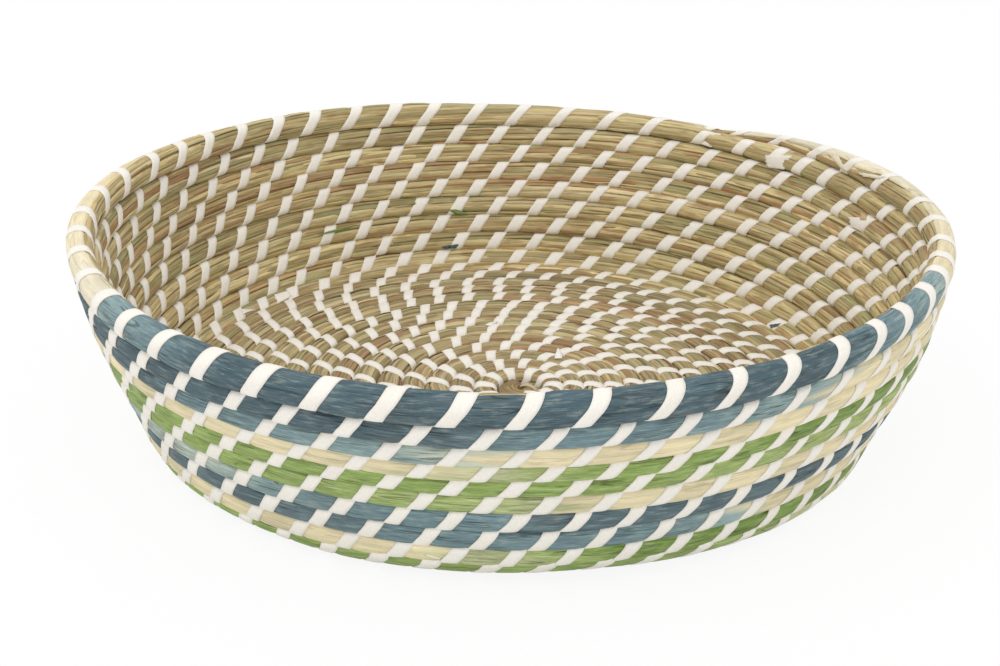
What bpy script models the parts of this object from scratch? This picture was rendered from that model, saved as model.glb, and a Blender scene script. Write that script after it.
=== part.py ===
"""A round bowl basket, coiled from one long bundle of grass.

The bundle winds in a flat spiral from the middle of the base, turns up at the foot and
climbs the wall row by row to a tapered end at the rim. Seen from above it winds
anticlockwise as it grows. Near the rim each row keeps level for most of a turn and steps
down to the next in one short stretch, which starts just before the coil's end. Towards the
middle of the base the step spreads out into an even spiral. Dyed leaves cover the
outer side of the wall rows, run by run, and a flat pale strip binds the rim.

Angles are turned clockwise, seen from above, from the coil's end at the rim, so they count
back along the coil, down the wall and in to the middle of the base.
"""

import math

import bmesh
import bpy
from mathutils import Vector

# Driving sizes of the bowl, in metres
RIM_RADIUS = 0.1948
UPPER_WALL = 0.0210
LOWER_WALL = 0.0628
FOOT_BEND = 0.0192
BASE_CENTRE_RIGHT = 0.0105

# How far the rim departs from a level circle, and the waist from a round one, in metres:
# forward, and then up or out at the sides, at the right, at the back right, and in threes
RIM_FRONT_LEAN = 0.0065
RIM_SIDE_LIFT = 0.0035
RIM_RIGHT_LIFT = 0.0013
RIM_CORNER_DROP = 0.0006
RIM_THREE_DROP = 0.0007
RIM_SIDE_REACH = 0.0006
RIM_CORNER_REACH = 0.0014
RIM_THREE_SET_IN = 0.0011
WAIST_SIDE_REACH = 0.0028

# The middle of the bowl's box, from the rim circle's middle
BOX_MIDDLE_RIGHT = 0.00104
BOX_MIDDLE_BACK = -0.00023

# Lean of the wall from upright, in degrees, at the rim, below the upper rows and at the foot
RIM_LEAN = 11.0
WAIST_LEAN = 18.0
FOOT_LEAN = 19.0
FLAT_LEAN = 90.0

# The coil
COIL_PITCH = 0.0110
COIL_GAP = 0.00155
COIL_START_RADIUS = 0.0066
COIL_JOINT_GAP = 0.0004
COIL_SIDES = 6
POINTS_PER_TURN = 24
END_THICKNESS_SHARE = 0.3
CORE_THICKNESS_SHARE = 0.8
FLAT_CUT_SHARE = 0.1

# Leaf covers and the strip that binds the rim
CLEARANCE = 0.0003
LEAF_THICKNESS = 0.0003
STRIP_CLEARANCE = 0.0003
STRIP_WIDTH = 0.0055
STRIP_THICKNESS = 0.0003
LEAF_END_GAP = 0.0030

# Places round the bowl, in turns
END_CLOCK_SHARE = 0.0942
STEP_LEAD_SHARE = 0.033
STEP_SPAN_SHARE = 0.167
TAPER_SPAN_SHARE = 0.125
JOINT_LEAD_SHARE = 0.85
STRIP_START_SHARE = 0.03
STRIP_END_SHARE = 0.975

# Wraps of the strip in one turn, and the steps, six to a wrap, that bring it inside at a bend
RIM_WRAPS = 48
BEND_STEPS = 4.5

# How far a leaf reaches round the coil, in sixths of its girth from the side facing the rim
RIM_LEAF_SHARES = (-0.4, 2.25)
WALL_LEAF_SHARES = (0.4, 2.6)
FOOT_LEAF_SHARES = (-0.2, 0.5)

# Leaf runs: name, first and last turn from the coil's end, reach round the coil, colour
LEAF_RUN_SHARES = (
    ("rim_cover_pale", 0.010, 0.208, RIM_LEAF_SHARES, "cream"),
    ("rim_cover_blue", 0.208, 0.562, RIM_LEAF_SHARES, "blue"),
    ("rim_cover_cream", 0.562, 0.955, RIM_LEAF_SHARES, "cream"),
    ("row_2_cover_cream", 0.985, 1.306, WALL_LEAF_SHARES, "cream"),
    ("row_2_cover_blue", 1.306, 1.822, WALL_LEAF_SHARES, "blue"),
    ("row_3_cover_cream", 1.822, 2.425, WALL_LEAF_SHARES, "cream"),
    ("row_3_cover_blue", 2.425, 2.822, WALL_LEAF_SHARES, "blue"),
    ("row_4_cover_green", 2.822, 3.411, WALL_LEAF_SHARES, "green"),
    ("row_4_cover_cream", 3.411, 3.822, WALL_LEAF_SHARES, "cream"),
    ("row_5_cover_green", 3.822, 4.822, WALL_LEAF_SHARES, "green"),
    ("row_6_cover_cream", 4.822, 5.392, WALL_LEAF_SHARES, "cream"),
    ("row_6_cover_green", 5.392, 5.822, WALL_LEAF_SHARES, "green"),
    ("row_7_cover_navy", 5.822, 6.467, WALL_LEAF_SHARES, "navy"),
    ("row_7_cover_pale_blue", 6.467, 6.822, WALL_LEAF_SHARES, "pale_blue"),
    ("row_8_cover_cream", 6.822, 7.322, WALL_LEAF_SHARES, "cream"),
    ("row_8_cover_navy", 7.322, 7.822, WALL_LEAF_SHARES, "navy"),
    ("row_9_cover_green", 7.822, 8.414, WALL_LEAF_SHARES, "green"),
    ("row_9_cover_cream", 8.414, 8.950, WALL_LEAF_SHARES, "cream"),
    ("row_10_cover_cream", 9.170, 9.280, FOOT_LEAF_SHARES, "cream"),
    ("row_10_cover_green", 9.280, 9.880, FOOT_LEAF_SHARES, "green"),
)

# Colour, roughness
FINISHES = {
    "grass": ((0.40, 0.30, 0.15), 0.65),
    "blue": ((0.09, 0.15, 0.21), 0.60),
    "navy": ((0.04, 0.08, 0.13), 0.60),
    "pale_blue": ((0.35, 0.46, 0.45), 0.60),
    "green": ((0.22, 0.36, 0.10), 0.60),
    "cream": ((0.72, 0.66, 0.48), 0.60),
    "strip": ((0.86, 0.84, 0.78), 0.45),
}

# Sizes that follow
COIL_RADIUS = (COIL_PITCH - COIL_GAP) / 2
FLAT_TO_CORNER = math.cos(math.pi / COIL_SIDES)
COIL_FLAT_RADIUS = COIL_RADIUS * FLAT_TO_CORNER
BASE_HEIGHT = COIL_FLAT_RADIUS - FLAT_CUT_SHARE * 2 * COIL_RADIUS
WALL_LENGTH = UPPER_WALL + LOWER_WALL + FOOT_BEND
COIL_JOINT_TURNS = WALL_LENGTH / COIL_PITCH + JOINT_LEAD_SHARE
CUTTER_SIZE = 2 * (RIM_RADIUS + COIL_PITCH)
MERGE_DISTANCE = CLEARANCE / 100

# Differences under this count as none
ROUNDING_SHARE = 1e-6


def clear_scene():
    for thing in list(bpy.data.objects):
        bpy.data.objects.remove(thing, do_unlink=True)


def smooth(share):
    """Ease from 0 to 1 as share goes from 0 to 1."""
    held = min(max(share, 0.0), 1.0)
    return held * held * (3.0 - 2.0 * held)


def bend(length, lean_above, lean_below, part=1.0):
    """Inward and downward travel along the first part of a wall stretch whose lean changes evenly."""
    start = math.radians(lean_above)
    change = math.radians(lean_below - lean_above) * part
    if abs(change) < ROUNDING_SHARE:
        return length * part * math.sin(start), length * part * math.cos(start)
    inward = length * part * (math.cos(start) - math.cos(start + change)) / change
    downward = length * part * (math.sin(start + change) - math.sin(start)) / change
    return inward, downward


WALL_STRETCHES = (
    (UPPER_WALL, RIM_LEAN, WAIST_LEAN),
    (LOWER_WALL, WAIST_LEAN, FOOT_LEAN),
    (FOOT_BEND, FOOT_LEAN, FLAT_LEAN),
)
WALL_TRAVEL = [bend(*stretch) for stretch in WALL_STRETCHES]
BASE_RADIUS = RIM_RADIUS - sum(inward for inward, downward in WALL_TRAVEL)
RIM_HEIGHT = BASE_HEIGHT + sum(downward for inward, downward in WALL_TRAVEL)


def bowl_line(down):
    """Radius, height and lean of the bowl's line at a length down from the rim row's centre."""
    if down < 0.0:
        lean = math.radians(RIM_LEAN)
        return RIM_RADIUS - down * math.sin(lean), RIM_HEIGHT - down * math.cos(lean), RIM_LEAN
    radius, height, left = RIM_RADIUS, RIM_HEIGHT, down
    for length, lean_above, lean_below in WALL_STRETCHES:
        part = min(left / length, 1.0)
        inward, downward = bend(length, lean_above, lean_below, part)
        radius, height = radius - inward, height - downward
        if part < 1.0:
            return radius, height, lean_above + (lean_below - lean_above) * part
        left -= length
    return radius - left, height, FLAT_LEAN


def rows_down(turns):
    """Rows below the rim's top place after some turns from the coil's end."""
    turned = turns + STEP_LEAD_SHARE
    whole = math.floor(turned)
    part = turned - whole
    even = min(max(turned / COIL_TURNS, 0.0), 1.0)
    return whole + (1.0 - even) * smooth(part / STEP_SPAN_SHARE) + even * part


def thickness_share(turns):
    """The coil thins to its end at the rim, and a little at its start in the base's middle."""
    tail = END_THICKNESS_SHARE + (1.0 - END_THICKNESS_SHARE) * smooth(turns / TAPER_SPAN_SHARE)
    core = CORE_THICKNESS_SHARE + (1.0 - CORE_THICKNESS_SHARE) * smooth(COIL_TURNS - turns)
    return min(tail, core)


def length_down(turns):
    """Length down the bowl's line to the coil's centre; a thinner end still lies on the row below."""
    tail = END_THICKNESS_SHARE + (1.0 - END_THICKNESS_SHARE) * smooth(turns / TAPER_SPAN_SHARE)
    return COIL_PITCH * (rows_down(turns) - 1.0) + COIL_PITCH * (1.0 - tail) / 2


# The turns that bring the coil from the rim to its start in the base's middle
COIL_TURNS = (WALL_LENGTH + BASE_RADIUS - COIL_START_RADIUS) / COIL_PITCH + 1.0 - STEP_LEAD_SHARE


def rim_lift(clock):
    """How far the rim stands above a level circle."""
    sides = RIM_SIDE_LIFT * math.cos(2 * clock) + RIM_CORNER_DROP * math.sin(2 * clock)
    return RIM_RIGHT_LIFT * math.sin(clock) - sides - RIM_THREE_DROP * math.cos(3 * clock)


def rim_reach(clock):
    """How far the rim stands outside a circle."""
    corners = RIM_CORNER_REACH * math.sin(2 * clock) - RIM_SIDE_REACH * math.cos(2 * clock)
    return corners - RIM_THREE_SET_IN * math.sin(3 * clock)


def frame_at(turns):
    """The coil's centre, the direction out of the bowl's wall and the direction up the wall."""
    down = length_down(turns)
    radius, height, lean_angle = bowl_line(down)
    clock = 2 * math.pi * (turns + END_CLOCK_SHARE)
    lean = math.radians(lean_angle)
    away = Vector((math.sin(clock), math.cos(clock), 0.0))
    wall_share = min(max(1.0 - down / WALL_LENGTH, 0.0), 1.0)
    rim_share = wall_share ** 2
    upright_share = min(max(down / (UPPER_WALL + LOWER_WALL), 0.0), 1.0)
    waist_share = (4 * upright_share * (1.0 - upright_share)) ** 2
    base_share = min(max((down - WALL_LENGTH) / BASE_RADIUS, 0.0), 1.0)
    radius += rim_reach(clock) * rim_share - WAIST_SIDE_REACH * math.cos(2 * clock) * waist_share
    height += rim_lift(clock) * wall_share
    centre = away * radius + Vector((0.0, 0.0, height))
    centre.x += BASE_CENTRE_RIGHT * base_share - BOX_MIDDLE_RIGHT
    centre.y += RIM_FRONT_LEAN * (1.0 - rim_share) - BOX_MIDDLE_BACK
    outward = away * math.cos(lean) - Vector((0.0, 0.0, math.sin(lean)))
    upward = away * math.sin(lean) + Vector((0.0, 0.0, math.cos(lean)))
    return centre, outward, upward, lean_angle


def corner(turns, offset, side):
    """A corner of the coil's six-sided section, grown by an offset, at a point of the coil."""
    centre, outward, upward, _ = frame_at(turns)
    reach = COIL_RADIUS * thickness_share(turns) + offset / FLAT_TO_CORNER
    angle = 2 * math.pi * side / COIL_SIDES
    return centre + (outward * math.sin(angle) + upward * math.cos(angle)) * reach


def whole_steps(turns):
    """The last of the coil's points at or before some turns."""
    return math.floor(turns * POINTS_PER_TURN + ROUNDING_SHARE) / POINTS_PER_TURN


def skin_point(turns, offset, round_share):
    """A point over the coil's flat faces, at a share of its girth counted in sides."""
    first = math.floor(round_share)
    part = round_share - first
    lower = whole_steps(turns)
    along = (turns - lower) * POINTS_PER_TURN
    ends = []
    for place in (lower, lower + 1.0 / POINTS_PER_TURN):
        start = corner(place, offset, first)
        ends.append(start.lerp(corner(place, offset, first + 1), part) if part > 0.0 else start)
    return ends[0].lerp(ends[1], along)


def finish(name):
    """One plain material for each piece."""
    colour, roughness = FINISHES[name]
    material = bpy.data.materials.new(name)
    material.use_nodes = True
    shader = material.node_tree.nodes["Principled BSDF"]
    shader.inputs["Base Color"].default_value = (*colour, 1.0)
    shader.inputs["Roughness"].default_value = roughness
    shader.inputs["Metallic"].default_value = 0.0
    return material


def add_object(name, data, material_name):
    thing = bpy.data.objects.new(name, data)
    bpy.context.scene.collection.objects.link(thing)
    data.materials.append(finish(material_name))
    return thing


def coil_places(first, last):
    """Turns at which the coil has a point: the two ends and each whole step between them."""
    step = 1.0 / POINTS_PER_TURN
    lowest = math.ceil(first / step + ROUNDING_SHARE)
    highest = math.ceil(last / step - ROUNDING_SHARE)
    return [first] + [i * step for i in range(lowest, highest)] + [last]


def joint_place(side_of_joint):
    """The two coils part in the middle of one straight step, square to it."""
    lower = whole_steps(COIL_JOINT_TURNS)
    start = frame_at(lower)[0]
    step_length = (frame_at(lower + 1.0 / POINTS_PER_TURN)[0] - start).length
    half_gap = COIL_JOINT_GAP / 2 / step_length
    return lower, 0.5 + side_of_joint * half_gap


def coil_points(first, last):
    """Centre, thickness share and lean for each point of a stretch of the coil."""
    points = []
    for turns in coil_places(first, last):
        centre, _, _, lean = frame_at(turns)
        points.append((centre, thickness_share(turns), lean))
    return points


def joint_point(side_of_joint):
    lower, along = joint_place(side_of_joint)
    start, _, _, lean = frame_at(lower)
    end = frame_at(lower + 1.0 / POINTS_PER_TURN)[0]
    return start.lerp(end, along), thickness_share(lower), lean


def coil(name, points):
    """One unbroken six-sided tube along the points, with a corner always facing the next row."""
    curve = bpy.data.curves.new(name, "CURVE")
    curve.dimensions = "3D"
    curve.twist_mode = "Z_UP"
    curve.bevel_depth = COIL_RADIUS
    curve.bevel_resolution = 1
    curve.use_fill_caps = True
    spline = curve.splines.new("POLY")
    spline.points.add(len(points) - 1)
    quarter = 360.0 / COIL_SIDES / 2
    for point, (centre, thickness, lean) in zip(spline.points, points):
        point.co = (*centre, 1.0)
        point.radius = thickness
        point.tilt = math.radians(quarter - lean)
    guide = bpy.data.objects.new(name + "_guide", curve)
    bpy.context.scene.collection.objects.link(guide)
    evaluated = guide.evaluated_get(bpy.context.evaluated_depsgraph_get())
    mesh = bpy.data.meshes.new_from_object(evaluated)
    mesh.name = name
    bpy.data.objects.remove(guide, do_unlink=True)
    shape = bmesh.new()
    shape.from_mesh(mesh)
    bmesh.ops.remove_doubles(shape, verts=shape.verts, dist=MERGE_DISTANCE)
    bmesh.ops.recalc_face_normals(shape, faces=shape.faces)
    shape.to_mesh(mesh)
    shape.free()
    mesh.materials.clear()
    return add_object(name, mesh, "grass")


def floor_cutter():
    """A block under the height that the basket stands at."""
    mesh = bpy.data.meshes.new("floor_cutter")
    shape = bmesh.new()
    bmesh.ops.create_cube(shape, size=CUTTER_SIZE)
    bmesh.ops.translate(shape, verts=shape.verts, vec=(0.0, 0.0, -CUTTER_SIZE / 2))
    shape.to_mesh(mesh)
    shape.free()
    cutter = bpy.data.objects.new("floor_cutter", mesh)
    bpy.context.scene.collection.objects.link(cutter)
    cutter.hide_render = True
    cutter.display_type = "WIRE"
    return cutter


def cut_flat(thing, cutter):
    """The rows of the base are pressed flat where they stand."""
    cut = thing.modifiers.new("stand", "BOOLEAN")
    cut.operation = "DIFFERENCE"
    cut.solver = "EXACT"
    cut.object = cutter


def band(name, sections, material_name):
    """A closed strip from sections, each a list of (inner, outer) points across it."""
    mesh = bpy.data.meshes.new(name)
    shape = bmesh.new()
    rows = [[(shape.verts.new(a), shape.verts.new(b)) for a, b in section] for section in sections]
    for here, there in zip(rows, rows[1:]):
        for i in range(len(here) - 1):
            shape.faces.new((here[i][0], here[i + 1][0], there[i + 1][0], there[i][0]))
            shape.faces.new((here[i][1], there[i][1], there[i + 1][1], here[i + 1][1]))
        for edge in (0, -1):
            shape.faces.new((here[edge][0], there[edge][0], there[edge][1], here[edge][1]))
    for end in (rows[0], rows[-1]):
        for i in range(len(end) - 1):
            shape.faces.new((end[i][0], end[i][1], end[i + 1][1], end[i + 1][0]))
    bmesh.ops.recalc_face_normals(shape, faces=shape.faces)
    shape.to_mesh(mesh)
    shape.free()
    return add_object(name, mesh, material_name)


def leaf_cover(name, first, last, reach, material_name):
    """A leaf laid along the outer side of the coil, from one turn to another."""
    half_gap = LEAF_END_GAP / 2 / (2 * math.pi * RIM_RADIUS)
    low, high = reach
    across = [low] + list(range(math.floor(low) + 1, math.ceil(high))) + [high]
    sections = []
    for turns in coil_places(first + half_gap, last - half_gap):
        sections.append([
            (skin_point(turns, CLEARANCE, share), skin_point(turns, CLEARANCE + LEAF_THICKNESS, share))
            for share in across])
    return band(name, sections, material_name)


def strip_offset(side):
    """The strip lies over the leaf, and close to the coil where it passes between two rows."""
    if side % COIL_SIDES == COIL_SIDES / 2:
        return CLEARANCE
    return CLEARANCE + LEAF_THICKNESS + STRIP_CLEARANCE


def rim_binding():
    """One flat strip wound round the rim row, up the inside, over the top and down the outside."""
    half_width = STRIP_WIDTH / 2 / (2 * math.pi * RIM_RADIUS)
    steps = RIM_WRAPS * COIL_SIDES
    sections = []
    for step in range(steps + 1):
        side = step - COIL_SIDES // 2
        turns = (step + BEND_STEPS) / steps
        if STRIP_START_SHARE <= turns <= STRIP_END_SHARE:
            inner = strip_offset(side)
            outer = inner + STRIP_THICKNESS
            sections.append([
                (skin_point(turns + edge, inner, side), skin_point(turns + edge, outer, side))
                for edge in (-half_width, half_width)])
    return band("rim_binding", sections, "strip")


def least_coil_gap():
    """The least distance between the surfaces of neighbouring turns, on the coil's points."""
    count = math.floor(COIL_TURNS * POINTS_PER_TURN)
    places = [i / POINTS_PER_TURN for i in range(count)]
    points = [(frame_at(t)[0], COIL_RADIUS * thickness_share(t)) for t in places]
    nearest = POINTS_PER_TURN // 2
    gaps = []
    for i, (here, here_radius) in enumerate(points):
        for there, there_radius in points[i + nearest:i + 2 * POINTS_PER_TURN]:
            gaps.append((here - there).length - here_radius - there_radius)
    return min(gaps)


def build():
    clear_scene()
    cutter = floor_cutter()
    wall_end = joint_place(-1)[0]
    wall = coil("wall_coil", coil_points(0.0, wall_end) + [joint_point(-1)])
    base_start = wall_end + 1.0 / POINTS_PER_TURN
    base = coil("base_coil", [joint_point(1)] + coil_points(base_start, whole_steps(COIL_TURNS)))
    cut_flat(wall, cutter)
    cut_flat(base, cutter)
    for name, first, last, reach, material_name in LEAF_RUN_SHARES:
        leaf_cover(name, first, last, reach, material_name)
    rim_binding()
    print("coil turns", round(COIL_TURNS, 2))
    print("least gap between turns of the coil, mm", round(least_coil_gap() * 1000, 3))


build()
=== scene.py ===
# %% [markdown]
# # A coiled grass bowl with dyed leaves and a pale binding strip
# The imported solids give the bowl's line, the rows of its coil and the leaf runs, but they are
# plain six-sided tubes. Every one of them is soft or wound, so each is replaced here by the thing
# itself: a bundle of single grass stems, fibrous leaves, and strips with a width and a thickness.

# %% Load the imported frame
import math

import bpy
import numpy as np
from mathutils import Matrix, Vector


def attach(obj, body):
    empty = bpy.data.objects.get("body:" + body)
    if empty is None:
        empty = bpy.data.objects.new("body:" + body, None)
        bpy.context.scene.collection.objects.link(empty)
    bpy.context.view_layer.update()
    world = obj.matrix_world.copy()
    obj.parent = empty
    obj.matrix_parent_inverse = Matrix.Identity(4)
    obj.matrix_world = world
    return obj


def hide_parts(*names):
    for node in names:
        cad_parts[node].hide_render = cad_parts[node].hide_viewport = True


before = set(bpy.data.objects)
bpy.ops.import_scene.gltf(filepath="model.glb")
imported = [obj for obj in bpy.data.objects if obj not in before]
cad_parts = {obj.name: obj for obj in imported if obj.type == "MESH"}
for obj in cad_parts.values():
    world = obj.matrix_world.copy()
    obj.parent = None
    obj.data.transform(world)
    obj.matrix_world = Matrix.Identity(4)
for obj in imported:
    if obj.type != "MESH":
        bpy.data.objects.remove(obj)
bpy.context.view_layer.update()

# %% [markdown]
# ## The bowl's line
# The coil's middle follows the same line as the solids, so its sizes are repeated from their
# source, in metres: a wall that leans out evenly, a tight bend at the foot, and a flat base. The
# rim isn't quite round or level, which a few waves round it give. Angles are turned clockwise,
# seen from above, from the coil's end at the rim.

# %% Sizes of the bowl
RIM_RADIUS = 0.1948
UPPER_WALL = 0.0210
LOWER_WALL = 0.0628
FOOT_BEND = 0.0192
RIM_RIGHT_LIFT = 0.0013
RIM_SIDE_LIFT = 0.0035
RIM_CORNER_DROP = 0.0006
RIM_THREE_DROP = 0.0007
RIM_SIDE_REACH = 0.0006
RIM_CORNER_REACH = 0.0014
RIM_THREE_SET_IN = 0.0011
WAIST_SIDE_REACH = 0.0028
RIM_FRONT_LEAN = 0.0065
BASE_CENTRE_RIGHT = 0.0105
BOX_MIDDLE_RIGHT = 0.00104
BOX_MIDDLE_BACK = -0.00023
RIM_LEAN, WAIST_LEAN, FOOT_LEAN, FLAT_LEAN = 11.0, 18.0, 19.0, 90.0
COIL_PITCH = 0.0110
COIL_START_RADIUS = 0.0066
BASE_HEIGHT = 0.0048
END_THICKNESS_SHARE = 0.3
CORE_THICKNESS_SHARE = 1.0
END_CLOCK_SHARE = 0.0942
STEP_LEAD_SHARE = 0.070
STEP_SPAN_SHARE = 0.204
TAPER_SPAN_SHARE = 0.125
WALL_STRETCHES = (
    (UPPER_WALL, RIM_LEAN, WAIST_LEAN),
    (LOWER_WALL, WAIST_LEAN, FOOT_LEAN),
    (FOOT_BEND, FOOT_LEAN, FLAT_LEAN),
)
WALL_LENGTH = UPPER_WALL + LOWER_WALL + FOOT_BEND
SMALL = 1e-6


# %% Follow the bowl's line
def ease(share):
    """Goes from 0 to 1 as share does, starting and ending gently."""
    held = np.clip(share, 0.0, 1.0)
    return held * held * (3.0 - 2.0 * held)


def bend(length, lean_above, lean_below, part):
    """Inward and downward travel along the first part of a stretch whose lean changes evenly."""
    start = math.radians(lean_above)
    change = math.radians(lean_below - lean_above) * part
    change = np.where(np.abs(change) < SMALL, SMALL, change)
    inward = length * part * (np.cos(start) - np.cos(start + change)) / change
    downward = length * part * (np.sin(start + change) - np.sin(start)) / change
    return inward, downward


WALL_TRAVEL = [bend(*stretch, 1.0) for stretch in WALL_STRETCHES]
BASE_RADIUS = RIM_RADIUS - float(sum(inward for inward, _ in WALL_TRAVEL))
RIM_HEIGHT = BASE_HEIGHT + float(sum(downward for _, downward in WALL_TRAVEL))
COIL_TURNS = (WALL_LENGTH + BASE_RADIUS - COIL_START_RADIUS) / COIL_PITCH + 1.0 - STEP_LEAD_SHARE


def bowl_line(down):
    """Radius, height and lean of the bowl's line at lengths down from the rim row's middle."""
    above = np.minimum(down, 0.0)
    radius = RIM_RADIUS - above * math.sin(math.radians(RIM_LEAN))
    height = RIM_HEIGHT - above * math.cos(math.radians(RIM_LEAN))
    reached = 0.0
    for length, lean_above, lean_below in WALL_STRETCHES:
        part = np.clip((down - reached) / length, 0.0, 1.0)
        inward, downward = bend(length, lean_above, lean_below, part)
        radius, height = radius - inward, height - downward
        reached += length
    marks = (0.0, UPPER_WALL, UPPER_WALL + LOWER_WALL, WALL_LENGTH)
    lean = np.radians(np.interp(down, marks, (RIM_LEAN, WAIST_LEAN, FOOT_LEAN, FLAT_LEAN)))
    return radius - np.maximum(down - WALL_LENGTH, 0.0), height, lean


def rows_down(turns):
    """Rows below the rim's top place: level near the rim, with one step down, and even at the middle."""
    turned = turns + STEP_LEAD_SHARE
    whole = np.floor(turned)
    even = np.clip(turned / COIL_TURNS, 0.0, 1.0)
    return whole + (1.0 - even) * ease((turned - whole) / STEP_SPAN_SHARE) + even * (turned - whole)


def tail_share(turns):
    return END_THICKNESS_SHARE + (1.0 - END_THICKNESS_SHARE) * ease(turns / TAPER_SPAN_SHARE)


def thickness_share(turns):
    """The coil thins to its end at the rim, and a little at its start in the base's middle."""
    core = CORE_THICKNESS_SHARE + (1.0 - CORE_THICKNESS_SHARE) * ease(COIL_TURNS - turns)
    return np.minimum(tail_share(turns), core)


# %% [markdown]
# The photograph shows what evenly wound rows don't have. The rim row is the tallest, the rows
# under it hang a little lower, those at the front are drawn together, and the coil's thin end is
# sunk beside the row that it rests on. The rim's sides are set in by about a millimetre.

# %% Uneven rows
RIM_SWELL_SHARE, RIM_SWELL_END, RIM_SWELL_FADE = 0.13, 1.05, 0.15
SAG_ROWS = (0.0, 1.0, 2.0, 3.0, 4.0, 8.0)
ROW_SAGS = (0.0008, 0.0021, 0.0021, 0.0010, 0.0002, -0.0003)
SIDE_SET_IN = 0.0011
FRONT_ROWS = (2.0, 3.0, 4.0, 5.0, 8.0, 9.0, 10.0, 19.0)
FRONT_RAISES = (0.0, 0.0006, 0.0016, 0.0020, 0.0028, 0.0062, 0.0056, 0.0)
LEFT_DROP, LEFT_CLOCK, LEFT_SPREAD = 0.0022, math.radians(300.0), math.radians(30.0)
LEFT_SET_IN, TAIL_SET_IN, RIGHT_BULGE = 0.0018, 0.0022, 0.0016
TAIL_CLOCK, RIGHT_CLOCK, SIDE_SPREAD = math.radians(72.0), math.radians(116.0), math.radians(17.0)
FOOT_RISE, FOOT_CLOCK, FOOT_SPREAD = 0.0038, math.radians(170.0), math.radians(26.0)
FOOT_RISE_TRAVEL = (0.080, 0.097, 0.114, 0.136)
FOOT_REACH, FOOT_REACH_TRAVEL = 0.0013, (0.0855, 0.0910, 0.1010, 0.1600)
FRONT_SWELL_SHARE, FRONT_SWELL_TURNS = 0.12, (8.8, 9.3, 22.5, 23.5)
TAIL_TURNS = (0.0, 0.006, 0.023, 0.039)
TAIL_DROPS = (0.0049, 0.0044, 0.0017, 0.0)


def front_share(turns):
    """1 at the front, and 0 at the far side."""
    return 0.5 - 0.5 * np.cos(2 * math.pi * (turns + END_CLOCK_SHARE))


def uneven_down(turns):
    """Length down from the rim row's middle, with the sag of the rows and of the coil's end."""
    rows = rows_down(turns)
    down = COIL_PITCH * (rows - 1.0) + COIL_PITCH * (1.0 - tail_share(turns)) / 2
    down = down - np.interp(rows - 1.0, FRONT_ROWS, FRONT_RAISES) * front_share(turns)
    return down + np.interp(rows - 1.0, SAG_ROWS, ROW_SAGS) + np.interp(turns, TAIL_TURNS, TAIL_DROPS)


def swelling(clock, middle, spread):
    """1 at an angle round the bowl, falling off evenly on both sides."""
    apart = (clock - middle + math.pi) % (2 * math.pi) - math.pi
    return np.exp(-(apart / spread) ** 2)


def rim_lift(clock):
    """Height of the rim's middle over a level ring."""
    sides = RIM_SIDE_LIFT * np.cos(2 * clock) + RIM_CORNER_DROP * np.sin(2 * clock)
    left = LEFT_DROP * swelling(clock, LEFT_CLOCK, LEFT_SPREAD)
    return RIM_RIGHT_LIFT * np.sin(clock) - sides - RIM_THREE_DROP * np.cos(3 * clock) - left


def rim_reach(clock):
    """Reach of the rim's middle past a round ring."""
    corners = RIM_CORNER_REACH * np.sin(2 * clock) - RIM_SIDE_REACH * np.cos(2 * clock)
    sides = SIDE_SET_IN * np.sin(clock) ** 2 + TAIL_SET_IN * swelling(clock, TAIL_CLOCK, SIDE_SPREAD)
    sides = sides + LEFT_SET_IN * swelling(clock, LEFT_CLOCK, SIDE_SPREAD)
    return corners - RIM_THREE_SET_IN * np.sin(3 * clock) - sides


def coil_frame(turns):
    """The coil's middle, the direction out of the wall and the direction up the wall."""
    down = uneven_down(turns)
    radius, height, lean = bowl_line(down)
    clock = 2 * math.pi * (turns + END_CLOCK_SHARE)
    wall_share = np.clip(1.0 - down / WALL_LENGTH, 0.0, 1.0)
    rim_share = wall_share ** 2
    upright_share = np.clip(down / (UPPER_WALL + LOWER_WALL), 0.0, 1.0)
    waist_share = (4 * upright_share * (1.0 - upright_share)) ** 2
    base_share = np.clip((down - WALL_LENGTH) / BASE_RADIUS, 0.0, 1.0)
    waist = RIGHT_BULGE * swelling(clock, RIGHT_CLOCK, SIDE_SPREAD) - WAIST_SIDE_REACH * np.cos(2 * clock)
    foot_share = np.interp(down, FOOT_REACH_TRAVEL, (0, 1, 1, 0)) * front_share(turns)
    radius = radius + rim_reach(clock) * rim_share + waist * waist_share + FOOT_REACH * foot_share
    right, back = np.sin(clock), np.cos(clock)
    foot_lift = FOOT_RISE * swelling(clock, FOOT_CLOCK, FOOT_SPREAD) * np.interp(down, FOOT_RISE_TRAVEL, (0, 1, 1, 0))
    middle = np.stack([
        right * radius + BASE_CENTRE_RIGHT * base_share - BOX_MIDDLE_RIGHT,
        back * radius + RIM_FRONT_LEAN * (1.0 - rim_share) - BOX_MIDDLE_BACK,
        height + rim_lift(clock) * wall_share + foot_lift], -1)
    level = np.stack([right, back, np.zeros_like(right)], -1)
    rise = np.array([0.0, 0.0, 1.0])
    outward = level * np.cos(lean)[..., None] - rise * np.sin(lean)[..., None]
    upward = level * np.sin(lean)[..., None] + rise * np.cos(lean)[..., None]
    return middle, outward, upward


def beside_coil(turns, around, reach):
    """Points at an angle round the coil, from its side towards the rim, and a reach from its middle."""
    middle, outward, upward = coil_frame(turns)
    sideways = outward * np.sin(around)[..., None] + upward * np.cos(around)[..., None]
    return middle + sideways * reach[..., None]


print("coil turns", round(COIL_TURNS, 2), "rim height", round(RIM_HEIGHT, 4))

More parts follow.
